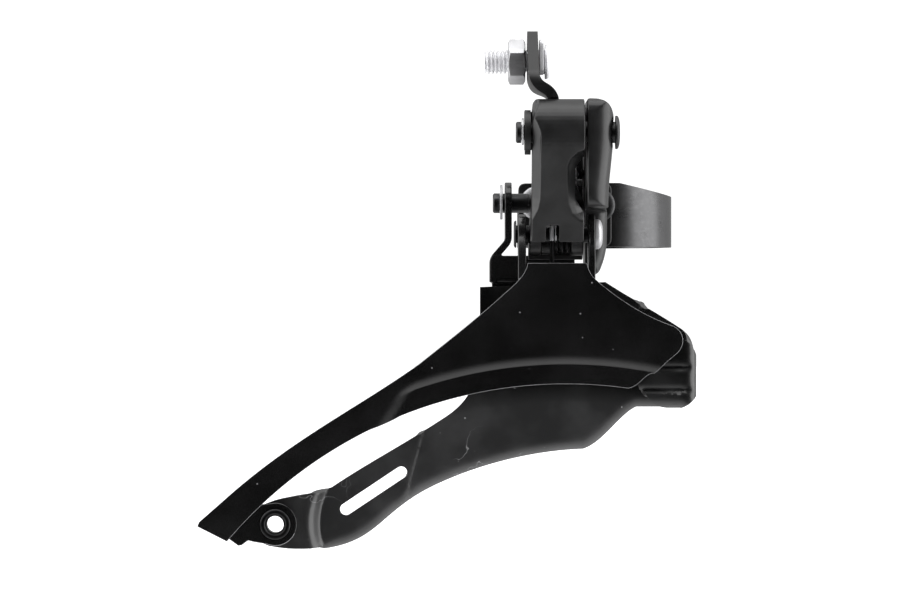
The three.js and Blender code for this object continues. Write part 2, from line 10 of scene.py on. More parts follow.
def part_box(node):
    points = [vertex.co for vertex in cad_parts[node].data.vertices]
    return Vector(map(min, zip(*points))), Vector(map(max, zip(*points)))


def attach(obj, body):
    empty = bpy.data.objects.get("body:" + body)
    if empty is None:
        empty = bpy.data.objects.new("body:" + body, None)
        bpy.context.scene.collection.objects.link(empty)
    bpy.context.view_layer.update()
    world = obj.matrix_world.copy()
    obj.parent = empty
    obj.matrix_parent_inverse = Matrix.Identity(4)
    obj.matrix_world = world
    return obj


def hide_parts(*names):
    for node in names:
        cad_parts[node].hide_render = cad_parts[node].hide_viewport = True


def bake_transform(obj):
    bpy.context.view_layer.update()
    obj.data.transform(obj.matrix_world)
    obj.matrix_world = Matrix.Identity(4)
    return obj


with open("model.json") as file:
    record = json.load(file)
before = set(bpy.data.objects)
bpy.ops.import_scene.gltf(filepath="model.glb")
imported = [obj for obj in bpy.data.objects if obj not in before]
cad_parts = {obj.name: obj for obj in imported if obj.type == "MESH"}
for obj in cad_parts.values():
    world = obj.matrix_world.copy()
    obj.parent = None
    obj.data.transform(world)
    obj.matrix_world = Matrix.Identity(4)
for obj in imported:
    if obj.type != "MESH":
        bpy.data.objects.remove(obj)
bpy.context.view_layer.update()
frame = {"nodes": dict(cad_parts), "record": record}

MM = 0.001

# Sizes in millimetres, in the CAD frame: +X forward, -Y the drive side, +Z up.
UPPER_PIVOT = (-50.5, 15.8)       # y, z
LOWER_PIVOT = (-41.5, -4.1)
INNER_PIVOT = (-41.0, 19.5)
CAGE_PIVOT = (-31.5, 2.3)
CABLE_BOLT = (-30.5, 30.8)
CLAMP_BOLT = (20.0, 0.0)
EYELET = (-64.9, -62.0)           # x, z
RING = (-7.0, -121.7)             # x, z of the chainring's axis
BAND_RIVETS = {"band_rivet_rear": (-12.2, 2.6), "band_rivet_front": (0.2, 2.2)}
JOIN_RIVETS = {"bracket_rivet_rear": (-16.0, -19.5), "bracket_rivet_front": (-8.5, -19.5)}
SHEET = 1.2
SHEET_EDGE = 0.3

nodes = frame["nodes"]


# ---- materials -----------------------------------------------------------------------------

class Shader:
    """A node material with helpers for the few nodes that the finishes share."""

    def __init__(self, name, **sockets):
        self.material = bpy.data.materials.new(name)
        self.material.use_nodes = True
        self.tree = self.material.node_tree
        self.surface = self.tree.nodes["Principled BSDF"]
        self.coords = self.add("ShaderNodeTexCoord").outputs["Object"]
        for socket, value in sockets.items():
            self.surface.inputs[socket.replace("_", " ")].default_value = value

    def add(self, kind, **settings):
        node = self.tree.nodes.new(kind)
        for key, value in settings.items():
            setattr(node, key, value)
        return node

    def link(self, source, target):
        self.tree.links.new(source, target)

    def noise(self, scale, detail=4.0, roughness=0.55, stretch=None):
        texture = self.add("ShaderNodeTexNoise")
        texture.inputs["Scale"].default_value = scale
        texture.inputs["Detail"].default_value = detail
        texture.inputs["Roughness"].default_value = roughness
        coords = self.coords
        if stretch:
            mapping = self.add("ShaderNodeMapping")
            mapping.inputs["Scale"].default_value = stretch
            self.link(self.coords, mapping.inputs["Vector"])
            coords = mapping.outputs["Vector"]
        self.link(coords, texture.inputs["Vector"])
        return texture.outputs["Fac"]

    def spread(self, value, low, high, out_low, out_high):
        span = self.add("ShaderNodeMapRange")
        sockets = ("From Min", "From Max", "To Min", "To Max")
        for socket, number in zip(sockets, (low, high, out_low, out_high)):
            span.inputs[socket].default_value = number
        self.link(value, span.inputs["Value"])
        return span.outputs["Result"]

    def ramp(self, value, *stops):
        node = self.add("ShaderNodeValToRGB")
        elements = node.color_ramp.elements
        while len(elements) < len(stops):
            elements.new(0.5)
        for element, (position, grey) in zip(elements, stops):
            element.position = position
            element.color = (grey, grey, grey * 1.02, 1)
        self.link(value, node.inputs["Fac"])
        return node.outputs["Color"]

    def joined(self, operation, a, b):
        both = self.add("ShaderNodeMath", operation=operation)
        self.link(a, both.inputs[0])
        self.link(b, both.inputs[1])
        return both.outputs["Value"]

    def specks(self, scale, size, share):
        """Small dots, one in some of the cells of a loose grid."""
        cells = self.add("ShaderNodeTexVoronoi")
        cells.inputs["Scale"].default_value = scale
        self.link(self.coords, cells.inputs["Vector"])
        dots = self.spread(cells.outputs["Distance"], 0.5 * size, size, 1, 0)
        chosen = self.spread(cells.outputs["Color"], 1 - share, 1.02 - share, 0, 1)
        return self.joined("MULTIPLY", dots, chosen)

    def hairlines(self, scale, width, patch_scale, patch):
        """Thin wandering lines, where a slow noise is above the patch level."""
        field = self.noise(scale, 4)
        rise = self.spread(field, 0.5 - width, 0.5, 0, 1)
        fall = self.spread(field, 0.5, 0.5 + width, 1, 0)
        line = self.joined("MULTIPLY", rise, fall)
        shown = self.spread(self.noise(patch_scale, 1), patch, patch + 0.05, 0, 1)
        return self.joined("MULTIPLY", line, shown)

    def reach(self, centre, low, high, top):
        """Runs from 0 to top between two distances from an axis along Y."""
        apart = self.add("ShaderNodeVectorMath", operation="SUBTRACT")
        apart.inputs[1].default_value = (centre[0] * MM, 0, centre[1] * MM)
        self.link(self.coords, apart.inputs[0])
        flat = self.add("ShaderNodeVectorMath", operation="MULTIPLY")
        flat.inputs[1].default_value = (1, 0, 1)
        self.link(apart.outputs["Vector"], flat.inputs[0])
        length = self.add("ShaderNodeVectorMath", operation="LENGTH")
        self.link(flat.outputs["Vector"], length.inputs[0])
        return self.spread(length.outputs["Value"], low * MM, high * MM, 0, top)

    def colour(self, value):
        self.link(value, self.surface.inputs["Base Color"])

    def roughness(self, value):
        self.link(value, self.surface.inputs["Roughness"])

    def bump(self, value, strength, distance):
        bump = self.add("ShaderNodeBump")
        bump.inputs["Strength"].default_value = strength
        bump.inputs["Distance"].default_value = distance
        self.link(value, bump.inputs["Height"])
        self.link(bump.outputs["Normal"], self.surface.inputs["Normal"])


def gloss_paint(name, greys, polish, scratched, lip_shade_radii=None):
    """Baked black paint with orange peel, dust, rubs and hairlines, and painted shade between two radii.
    """
    paint = Shader(name, Metallic=0.0, IOR=1.5, Coat_Weight=0.3, Coat_Roughness=0.1)
    dust = paint.specks(420, 0.11, 0.36)
    rubs = paint.spread(paint.noise(420, 3, 0.7, (1.0, 1.0, 0.12)), 0.70, 0.78, 0, 0.5)
    lines = paint.hairlines(60, 0.0035, 40, scratched)
    cloud = paint.spread(paint.noise(70, 4), 0.42, 0.66, 0, 0.3)
    marks = dust
    for mark in (rubs, lines, cloud):
        marks = paint.joined("MAXIMUM", marks, mark)
    wear_and_lip_shade = paint.spread(marks, 0, 1, 0.3, 1)
    # Painted shade: the colour darkens from one radius about the chainring's axis to the next, standing
    # in for the shade under the outer plate's lip.
    if lip_shade_radii:
        wear_and_lip_shade = paint.joined("SUBTRACT", wear_and_lip_shade, paint.reach(RING, *lip_shade_radii, 0.3))
    paint.colour(paint.ramp(wear_and_lip_shade, *zip((0.0, 0.3, 0.65, 1.0), greys)))
    paint.roughness(paint.spread(paint.noise(35, 1), 0.3, 0.7, *polish))
    paint.bump(paint.noise(900, 3), 0.04, 0.00001)
    return paint.material


def moulded_resin():
    """Glass-filled nylon: satin black with a fine moulded grain."""
    resin = Shader("black_resin", Metallic=0.0, IOR=1.49)
    resin.colour(resin.ramp(resin.noise(300, 6), (0.3, 0.007), (0.7, 0.014)))
    resin.roughness(resin.spread(resin.noise(160, 5), 0.3, 0.7, 0.28, 0.38))
    resin.bump(resin.noise(3800, 4), 0.22, 0.00004)
    return resin.material


def plated_steel(name, dark, light, low, high, metallic=1.0):
    """Plated steel with brushed streaks over a cloudy coat; some copies stand for painted shade or a
    painted highlight.
    """
    steel = Shader(name, Metallic=metallic)
    cloud = steel.noise(240, 5)
    streak = steel.noise(1400, 3, 0.6, (0.2, 1.0, 1.0))
    steel.colour(steel.ramp(steel.joined("MAXIMUM", cloud, streak), (0.35, dark), (0.75, light)))
    steel.roughness(steel.spread(cloud, 0.3, 0.7, low, high))
    steel.bump(streak, 0.12, 0.00003)
    return steel.material


PAINT = gloss_paint("gloss_black_paint", (0.002, 0.003, 0.009, 0.16), (0.17, 0.27), 0.62)
# The inner plate's paint is a lighter copy of the gloss paint. The lighter base is painted light for the
# brighter light its panel catches, with painted shade under the outer plate's lip.
LIT_LIP_SHADED_PAINT = gloss_paint(
    "black_paint_painted_light_lip_shade", (0.001, 0.016, 0.046, 0.2), (0.30, 0.42), 0.56, (84.0, 88.0),
)
RESIN = moulded_resin()
DARK_STEEL = plated_steel("black_plated_steel", 0.045, 0.08, 0.30, 0.44)
BAND_STEEL = plated_steel("black_band_steel", 0.080, 0.11, 0.26, 0.31)
LEVER_STEEL = plated_steel("black_lever_steel", 0.004, 0.009, 0.36, 0.46, 0.0)
# Painted shade: a near-black copy of the spring's steel for the coil and lower leg inside the link's
# knuckle.
SPRING_SHADE_STEEL = plated_steel("spring_steel_painted_shade", 0.012, 0.03, 0.30, 0.45)
ZINC = plated_steel("zinc_steel", 0.46, 0.62, 0.30, 0.46, 0.6)
BRIGHT_ZINC = plated_steel("bright_zinc_steel", 0.70, 0.84, 0.40, 0.55, 0.4)
NUT_ZINC = plated_steel("nut_zinc_steel", 0.46, 0.62, 0.36, 0.50, 0.9)
# Painted highlight: a light paint for the outer plate's eased edges and the tail lug's underside,
# standing in for the bright light along those edges.
EDGE_HIGHLIGHT_PAINT = plated_steel("painted_edge_highlight", 0.16, 0.34, 0.30, 0.50, 0.5)
SLOT_MATERIAL = {
    "gloss_black_paint": PAINT,
    "black_resin": RESIN,
    "black_plated_steel": DARK_STEEL,
    "zinc_steel": ZINC,
}
NODE_SLOT = {part["node"]: part["material_slot"] for part in frame["record"]["subparts"]}
BODIES = frame["record"]["behaviour"]["bodies"]
NODE_BODY = {node: body for body, names in BODIES.items() for node in names}


# ---- making pieces -------------------------------------------------------------------------

def new_object(name, mesh):
    piece = bpy.data.objects.new(name, mesh)
    bpy.context.scene.collection.objects.link(piece)
    return piece


def from_bmesh(name, bm):
    bmesh.ops.remove_doubles(bm, verts=bm.verts, dist=1e-7)
    bmesh.ops.recalc_face_normals(bm, faces=bm.faces)
    mesh = bpy.data.meshes.new(name)
    bm.to_mesh(mesh)
    bm.free()
    return new_object(name, mesh)


def apply_modifiers(piece):
    ready = piece.evaluated_get(bpy.context.evaluated_depsgraph_get())
    mesh = bpy.data.meshes.new_from_object(ready)
    piece.modifiers.clear()
    piece.data = mesh
    return piece


def modify(piece, kind, **settings):
    modifier = piece.modifiers.new(kind.lower(), kind)
    for key, value in settings.items():
        setattr(modifier, key, value)
    return piece


def eased(piece, width, angle=40, **settings):
    """Rounds the edges that turn by more than an angle."""
    limit = {"limit_method": "ANGLE", "angle_limit": math.radians(angle)}
    modify(piece, "BEVEL", width=width * MM, segments=3, **limit, **settings)
    return apply_modifiers(piece)


def shade(piece, angle=35.0):
    piece.data.shade_smooth()
    piece.data.set_sharp_from_angle(angle=math.radians(angle))


def stands_for(piece, *names, material=None, angle=35.0):
    """Gives a finished piece its material and body, in place of the CAD nodes that it stands for."""
    shade(piece, angle)
    if not piece.data.materials:
        piece.data.materials.append(material or SLOT_MATERIAL[NODE_SLOT[names[0]]])
    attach(piece, NODE_BODY[names[0]])
    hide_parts(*names)
    return piece


def second_finish(piece, material, where):
    """Gives the faces whose middle passes the test another material."""
    piece.data.materials.append(material)
    for face in piece.data.polygons:
        if where(face.center):
            face.material_index = 1


def boolean(piece, tool, operation="DIFFERENCE"):
    modify(piece, "BOOLEAN", object=tool, operation=operation, solver="EXACT")
    apply_modifiers(piece)
    bpy.data.objects.remove(tool)
    return piece


def prism(name, points, axis, low, high, place=None):
    """A prism: an outline in the plane across an axis, swept from low to high along it."""
    bm = bmesh.new()
    at = {
        "x": lambda u, v, w: (w, u, v),
        "y": lambda u, v, w: (u, w, v),
        "z": lambda u, v, w: (u, v, w),
    }[axis]
    rings = [[bm.verts.new(Vector(at(u, v, w)) * MM) for u, v in points] for w in (low, high)]
    bm.faces.new(rings[0])
    bm.faces.new(reversed(rings[1]))
    for i in range(len(points)):
        j = (i + 1) % len(points)
        bm.faces.new((rings[0][i], rings[1][i], rings[1][j], rings[0][j]))
    if place:
        bmesh.ops.transform(bm, matrix=place, verts=bm.verts)
    return from_bmesh(name, bm)


def lofted(name, points, levels, place=None):
    """A solid across +Z whose outline is shifted along X from level to level, given as (z, shift)."""
    bm = bmesh.new()
    rings = [[bm.verts.new(Vector((u + shift, v, w)) * MM) for u, v in points] for w, shift in levels]
    bm.faces.new(rings[0])
    bm.faces.new(reversed(rings[-1]))
    for one, two in zip(rings, rings[1:]):
        for i in range(len(points)):
            j = (i + 1) % len(points)
            bm.faces.new((one[i], two[i], two[j], one[j]))
    if place:
        bmesh.ops.transform(bm, matrix=place, verts=bm.verts)
    return from_bmesh(name, bm)


def circle(u, v, radius, count=64, start=0.0, turn=360.0):
    steps = count if turn == 360.0 else count + 1
    angles = (math.radians(start + turn * i / count) for i in range(steps))
    return [(u + radius * math.cos(a), v + radius * math.sin(a)) for a in angles]


def rounded(corners, steps=8):
    """An outline through (u, v, radius) corners."""
    points = []
    count = len(corners)
    for i, (u, v, radius) in enumerate(corners):
        at = Vector((u, v))
        back = Vector(corners[i - 1][:2]) - at
        onward = Vector(corners[(i + 1) % count][:2]) - at
        if radius == 0:
            points.append((u, v))
            continue
        a, b = at + back.normalized() * radius, at + onward.normalized() * radius
        for k in range(steps + 1):
            t = k / steps
            points.append(tuple(a * (1 - t) ** 2 + at * 2 * t * (1 - t) + b * t * t))
    return points


def turned(name, steps, pivot, axis="x", segments=64, bevel=0.15):
    """A turned pin, screw or rivet from [along, radius] steps, its corners eased."""
    bm = bmesh.new()
    profile = [(steps[0][0], 0.0), *steps, (steps[-1][0], 0.0)]
    place = {
        "x": lambda a, r, t: (a, pivot[0] + r * math.cos(t), pivot[1] + r * math.sin(t)),
        "y": lambda a, r, t: (pivot[0] + r * math.cos(t), a, pivot[1] + r * math.sin(t)),
        "z": lambda a, r, t: (pivot[0] + r * math.cos(t), pivot[1] + r * math.sin(t), a),
    }[axis]
    rings = []
    for along, radius in profile:
        turn = [2 * math.pi * i / segments for i in range(segments if radius else 1)]
        rings.append([bm.verts.new(Vector(place(along, radius, t)) * MM) for t in turn])
    for one, two in zip(rings, rings[1:]):
        for i in range(segments):
            j = (i + 1) % segments
            corners = [one[i % len(one)], two[i % len(two)], two[j % len(two)], one[j % len(one)]]
            corners = list(dict.fromkeys(corners))
            if len(corners) > 2:
                bm.faces.new(corners)
    return eased(from_bmesh(name, bm), bevel, 30)


def copy_node(node, name):
    mesh = nodes[node].data.copy()
    mesh.materials.clear()
    piece = new_object(name, mesh)
    piece.matrix_world = nodes[node].matrix_world
    return piece


def soften(piece, voxel=0.14, passes=6, strength=0.5):
    """Remeshes a solid finely and eases every edge, as a casting or a rolled edge has."""
    modify(piece, "REMESH", mode="VOXEL", voxel_size=voxel * MM)
    modify(piece, "SMOOTH", factor=strength, iterations=passes)
    return apply_modifiers(piece)


# ---- pressed sheet -------------------------------------------------------------------------

def smoothstep(value, low, high):
    t = min(max((value - low) / (high - low), 0.0), 1.0)
    return t * t * (3 - 2 * t)


def bezier(a, b, c, d, steps=16):
    return [
        tuple(
            p * (1 - t) ** 3 + 3 * q * t * (1 - t) ** 2 + 3 * r * t * t * (1 - t) + s * t ** 3
            for p, q, r, s in zip(a, b, c, d)
        )
        for t in (k / steps for k in range(1, steps + 1))
    ]


def divided(loop, longest=0.55):
    """The loop with its long sides cut into equal short ones."""
    points = []
    for a, b in zip(loop, [*loop[1:], loop[0]]):
        pieces = max(1, round(math.dist(a, b) / longest))
        points += [tuple(p + (q - p) * k / pieces for p, q in zip(a, b)) for k in range(pieces)]
    return points


def inset(loop, depth):
    """Points at one depth inside a loop that runs either way round."""
    area = sum(a[0] * b[1] - b[0] * a[1] for a, b in zip(loop, [*loop[1:], loop[0]]))
    side = math.copysign(depth, area)
    points = []
    for i, (u, v) in enumerate(loop):
        along = Vector(loop[(i + 1) % len(loop)]) - Vector(loop[i - 1])
        along.normalize()
        points.append((u - along.y * side, v + along.x * side))
    return points


RIM_DEPTHS = (0.45, 0.9, 1.4, 1.9, 2.5)      # rows of points inside a sheet's border
RIM_CLEAR = 0.42                             # the nearest that any other point comes to an edge
WITHIN_EDGES = 1                             # the triangulation's output: what the edges enclose


class Blank:
    """The points of a flat blank, none of them too near another."""

    CELL = 0.5

    def __init__(self):
        self.points = []
        self.cells = {}

    def cell(self, point):
        return (math.floor(point[0] / self.CELL), math.floor(point[1] / self.CELL))

    def add(self, points, apart):
        reach = math.ceil(apart / self.CELL)
        for point in points:
            i, j = self.cell(point)
            near = (
                other
                for a in range(i - reach, i + reach + 1)
                for b in range(j - reach, j + reach + 1)
                for other in self.cells.get((a, b), ())
            )
            if all(math.dist(point, other) > apart for other in near):
                self.points.append(point)
                self.cells.setdefault((i, j), []).append(point)


def inside(point, loop):
    u, v = point
    crossings = 0
    for (au, av), (bu, bv) in zip(loop, [*loop[1:], loop[0]]):
        if (av > v) != (bv > v) and u < au + (v - av) * (bu - au) / (bv - av):
            crossings += 1
    return crossings % 2 == 1


def pressed(name, border, holes, place, pitch, guides, face_material, edge_material):
    """A pressed sheet: a flat blank, meshed finely, then put in place point by point and thickened.

    place(u, v) gives the middle of the sheet, in millimetres. The mesh follows the blank's edges and
    the guides, which are points along its bends and beads.
    """
    border = divided(border)
    blank = Blank()
    edges = []
    for loop in (border, *holes):
        first = len(blank.points)
        blank.add(loop, 0.0)
        edges += [(first + i, first + (i + 1) % len(loop)) for i in range(len(loop))]
    rim_points = [point for loop in (border, *holes) for point in divided(loop, 0.1)]
    rim = kdtree.KDTree(len(rim_points))
    for i, point in enumerate(rim_points):
        rim.insert((*point, 0), i)
    rim.balance()

    def clear_of_rim(points, depth):
        return [p for p in points if rim.find((*p, 0))[2] > depth]

    for depth in RIM_DEPTHS:
        blank.add(clear_of_rim(inset(border, depth), 0.95 * depth), 0.3)
    blank.add(clear_of_rim(guides, RIM_CLEAR), 0.22)
    us, vs = [p[0] for p in border], [p[1] for p in border]
    for row in range(int((max(vs) - min(vs)) / pitch)):
        v = min(vs) + (row + 0.5) * pitch
        shift = 0.5 + 0.5 * (row % 2)
        columns = range(int((max(us) - min(us)) / pitch))
        row_points = [(min(us) + (column + shift) * pitch, v) for column in columns]
        blank.add(clear_of_rim(row_points, RIM_CLEAR), 0.7 * pitch)
    spots = [Vector(point) for point in blank.points]
    flat, _, faces, _, _, _ = geometry.delaunay_2d_cdt(spots, edges, [], WITHIN_EDGES, 1e-5)
    bm = bmesh.new()
    verts = [bm.verts.new(Vector(place(p.x, p.y)) * MM) for p in flat]
    for face in faces:
        middle = sum((flat[i] for i in face), Vector((0, 0))) / len(face)
        if not any(inside(middle, hole) for hole in holes):
            bm.faces.new([verts[i] for i in face])
    bmesh.ops.delete(bm, geom=[v for v in bm.verts if not v.link_faces], context="VERTS")
    piece = from_bmesh(name, bm)
    piece.data.materials.append(face_material)
    piece.data.materials.append(edge_material)
    modify(piece, "SOLIDIFY", thickness=SHEET * MM, offset=0.0, use_even_offset=True)
    return eased(piece, SHEET_EDGE, 60, material=1)


# ---- outer plate ---------------------------------------------------------------------------

OUTER_Y = -47.0                    # middle of the face
JOG = 1.3
RING_R = 87.85
JOG_R = 92.0
JOG_WIDTH = 2.3
JOG_START_X = -42.6


def outer_plate_border():
    border = [(-14.6, -9.9)]
    border += bezier((-14.6, -9.9), (-14.9, -12.4), (-17.5, -14.4), (-19.3, -16.0), 8)
    border += bezier((-19.3, -16.0), (-25, -21.2), (-31.5, -26.2), (-36, -29.8))
    border += bezier((-36, -29.8), (-48, -38.4), (-61, -44.5), (-74.6, -56.7), 32)
    border += [(-79.6, -61.1), (-80.0, -62.0), (-74.1, -65.0)]
    start = math.atan2(-65.0 - RING[1], -74.1 - RING[0])
    end = math.atan2(-34.7 - RING[1], 5.4 - RING[0])
    for k in range(1, 73):
        angle = start + (end - start) * k / 72
        border.append((RING[0] + RING_R * math.cos(angle), RING[1] + RING_R * math.sin(angle)))
    border += bezier((5.4, -34.7), (7.8, -34.2), (8.2, -32.1), (10.5, -31.5), 8)
    border += [(15.0, -27.7)]
    border += bezier((15.0, -27.7), (16.8, -26.0), (16.3, -23.4), (14.3, -22.4), 10)
    border += bezier((14.3, -22.4), (8.5, -20.4), (3.5, -17.2), (-1.1, -13.2))
    border += bezier((-1.1, -13.2), (-2.3, -12.2), (-2.6, -11), (-2.9, -9.9), 6)
    return border[1:] if border[0] == border[-1] else border


def outer_plate_place(x, z):
    """The face rolls over to a lip that is set back inboard; the joggle fades out at the tail."""
    radius = math.hypot(x - RING[0], z - RING[1])
    rolled = min(max((JOG_R + JOG_WIDTH - radius) / JOG_WIDTH, 0.0), 1.0)
    set_back = rolled ** 2
    slanted = x - 0.62 * (z + 41.6)
    set_back *= smoothstep(slanted, JOG_START_X - 2.6, JOG_START_X + 1.6)
    crown = 0.12 * smoothstep(radius, JOG_R, JOG_R + 14)
    return (x, OUTER_Y + JOG * set_back - crown, z)


def ear(name, low_x, high_x, foot):
    y, z = LOWER_PIVOT
    outside, round_r = OUTER_Y - SHEET / 2, 4.0
    profile = [(outside, foot), (outside, -9.2)]
    profile += bezier((outside, -9.2), (outside + 0.5, -7), (y - 5.2, -6), (y - round_r, z), 8)
    profile += circle(y, z, round_r, 28, 180.0, -180.0)[1:]
    profile += bezier((y + round_r, z), (y + round_r, -8), (y - 1, -10), (outside + 2.5, foot), 8)
    piece = prism(name, profile, "x", low_x, high_x)
    return eased(piece, 0.2, 50)


def joggle_guides():
    rows = [JOG_R + JOG_WIDTH * k / 7 for k in range(-2, 10)]
    angles = [math.radians(40 + 0.5 * k) for k in range(190)]
    return [(RING[0] + r * math.cos(a), RING[1] + r * math.sin(a)) for r in rows for a in angles]


def outer_plate():
    # The plate's eased edges take the painted edge highlight.
    plate = pressed(
        "outer_plate_panel", outer_plate_border(), [], outer_plate_place, 0.9, joggle_guides(),
        PAINT, EDGE_HIGHLIGHT_PAINT,
    )
    for side in (("ear_rear", -16.5, -14.9, -15.2), ("ear_front", -2.6, -1.2, -14.2)):
        boolean(plate, ear(*side), "UNION")
    wall = prism("tail_wall", rounded([
        (-80.0, -62.0, 0.3), (-74.1, -65.0, 0.3), (-73.5, -64.0, 0.3), (-79.4, -60.8, 0.3),
    ], 3), "y", OUTER_Y - 0.4, -38.0)
    boolean(plate, wall, "UNION")
    lug_border = [(-79.7, -61.8), (-74.1, -65.0), (-72.3, -66.3), (-71.6, -66.2)]
    lug_border += [(-70.3, -65.25), (-69.4, -65.5)]
    lug_border += circle(*EYELET, 4.3, 30, 248.0, 200.0) + [(-70, -58.3), (-76.2, -59.2)]
    lug = prism("tail_lug", lug_border, "y", -39.2, -38.0)
    boolean(plate, eased(lug, 0.2, 50), "UNION")
    boolean(plate, prism("hole", circle(*LOWER_PIVOT, 2.0), "x", -30, 30))
    boolean(plate, prism("hole", circle(*EYELET, 2.75), "y", -41, -36))
    plate.name = "cage_outer_plate"
    # Painted highlight: the tail lug's downward faces take the light edge paint.
    for face in plate.data.polygons:
        on_lug = face.center.y > -41 * MM and face.center.z < -64 * MM
        if on_lug and face.normal.z < -0.3:
            face.material_index = 1
    return stands_for(plate, "outer_plate", angle=40)


# ---- inner plate ---------------------------------------------------------------------------

INNER_Y = -34.0
FRONT_X = 18.4
TAB_Y = -44.2
BEND = 1.8
PANEL_STEP = 0.45
RIM = 2.2
FLANGE_Z = -38.1
BEADS_Z = (-30.6, -35.0)
BEAD_DEPTH = 0.95
TAIL_STEPS = ((-62.4, -59.4, 0.4), (-59.0, -56.0, 2.7))    # from x, to x, depth
TAIL_MIDDLE_Z = -62.0
TAIL_BOW = 0.035                                           # how much the steps curve away from there

# Where the blank's stretches begin: the bend ends, the front wall ends, the tab starts and stops.
BEND_START = FRONT_X - BEND
WALL_START = BEND_START + BEND * math.pi / 2
WALL_END = WALL_START + (INNER_Y - TAB_Y) - 2 * BEND
TAB_START = WALL_END + BEND * math.pi / 2
TAB_STOP = TAB_START + 9.4


def inner_low_edge():
    edge = bezier((19.2, -35.8), (19.0, -37.6), (18.4, -38.1), (17, -38.1), 6)
    edge += [(7.4, -38.1)]
    edge += bezier((7.4, -38.1), (4, -39.4), (0.5, -45.4), (-3.3, -46.6))
    edge += bezier((-3.3, -46.6), (-12, -46.9), (-22, -49), (-31.2, -53.0))
    edge += bezier((-31.2, -53.0), (-44, -58.4), (-44, -64.5), (-53.8, -66.4), 20)
    edge += bezier((-53.8, -66.4), (-57, -67.1), (-61, -67.4), (-66.2, -66.4), 8)
    return edge


INNER_LOW = inner_low_edge()


def inner_plate_border():
    """The blank's outline; past the front bend the blank runs on as the front wall and the tab."""
    border = [(-66.5, -57.8)]
    border += bezier((-66.5, -57.8), (-63, -56.2), (-58, -56.4), (-53.8, -54.8), 8)
    border += bezier((-53.8, -54.8), (-47, -50.2), (-40, -46.6), (-32.2, -41.5))
    border += bezier((-32.2, -41.5), (-28.4, -39.2), (-26.6, -37.2), (-25.2, -34), 8)
    border += [(-24, -21), (-24, -14.6), (1.1, -13.6)]
    border += bezier((1.1, -13.6), (6, -16.8), (12, -20), (16.0, -22.7))
    border += bezier((16.0, -22.7), (17.8, -23.6), (18.6, -26.0), (WALL_START, -28.6), 10)
    border += bezier(
        (WALL_END, -28.6), (WALL_END + 1, -27.4), (TAB_START - 1, -25.6), (TAB_START, -25.2), 6,
    )
    border += [(TAB_STOP, -24.0), (TAB_STOP, -33.6)]
    border += bezier(
        (TAB_STOP, -33.6), (TAB_STOP - 1, -36.2), (TAB_START + 6, -38.1), (TAB_START + 3.5, -38.1), 8,
    )
    border += [(TAB_START + 0.4, -38.1)]
    border += bezier(
        (TAB_START + 0.4, -38.1), (TAB_START - 1, -38.1), (WALL_END + 1, -36.5), (WALL_END, -36.2), 6,
    )
    border += bezier((WALL_START, -36.2), (WALL_START - 1, -36.5), (17.2, -38.1), (16.2, -38.1), 6)
    border += [p for p in INNER_LOW if p[0] < FRONT_X - 1.5]
    for k in range(1, 12):
        angle = -1.86 - (4.36 - 1.86) * k / 12
        border.append((EYELET[0] + 4.6 * math.cos(angle), EYELET[1] + 4.6 * math.sin(angle)))
    return border


def edge_distance(x, z):
    nearest = 9.0
    for (ax, az), (bx, bz) in zip(INNER_LOW, INNER_LOW[1:]):
        span = (bx - ax) ** 2 + (bz - az) ** 2
        t = min(max(((x - ax) * (bx - ax) + (z - az) * (bz - az)) / span, 0), 1) if span else 0
        nearest = min(nearest, math.hypot(x - ax - t * (bx - ax), z - az - t * (bz - az)))
    return nearest


def round_corner(length, before, radius):
    """How far a bent strip has run along and across, where its corner of 90 degrees starts at before."""
    arc = radius * math.pi / 2
    if length <= before:
        return length, 0.0
    if length <= before + arc:
        angle = (length - before) / radius
        return before + radius * math.sin(angle), radius * (1 - math.cos(angle))
    return before + radius, radius + length - before - arc


def rolled(near):
    """How far the sheet has rolled inboard at a distance from its rolled edge."""
    short = RIM - min(max(near, 0.0), RIM)
    return RIM - math.sqrt(RIM ** 2 - short ** 2)


def inner_plate_place(u, z):
    if u <= WALL_END:
        x, outboard = round_corner(u, BEND_START, BEND)
        y = INNER_Y - outboard
    else:
        outboard, inward = round_corner(u - WALL_END, 0.0, BEND)
        x, y = FRONT_X - inward, TAB_Y + BEND - outboard
    if u < BEND_START:
        # Known fault: the bow has no limit, so the panel's upper rear moves outboard with the tail.
        bowed = u - TAIL_BOW * (z - TAIL_MIDDLE_Z) ** 2
        for begin, end, depth in TAIL_STEPS:
            y -= depth * (1 - smoothstep(bowed, begin, end))
        slanted = u - 0.27 * (z + 49)
        y += PANEL_STEP * smoothstep(slanted, -37.6, -36.6) * (1 - smoothstep(u, 4, 9))
        fade = smoothstep(u, -58, -52) * (1 - smoothstep(u, 12, BEND_START))
        y += fade * rolled(edge_distance(u, z))
    elif u > WALL_END:
        on_tab = smoothstep(u, WALL_END + 1, TAB_START + 0.8)
        y += on_tab * BEAD_DEPTH * sum(math.exp(-((z - bead) / 0.7) ** 2) for bead in BEADS_Z)
        y += on_tab * rolled(z - FLANGE_Z)
    return (x, y, z)


def inner_guides():
    """Points along the step in the panel, the tail's ridge and the bends and beads of the front wall."""
    spans = [k * 0.7 for k in range(1, 18)]
    heights = [-61 + s * 1.6 for s in spans]
    step = [(-37.1 + 0.27 * (z + 49) + 0.25 * k, z) for k in range(-4, 5) for z in heights]
    bow = [(TAIL_BOW * (s - 6) ** 2, TAIL_MIDDLE_Z - 6 + s) for s in spans]
    ridge = [(-58.6 + 0.3 * k + off, z) for k in range(-9, 10) for off, z in bow]
    wall = [(BEND_START - 0.4 + 0.4 * k, -39 + 0.5 * j) for k in range(56) for j in range(34)]
    return step + ridge + wall


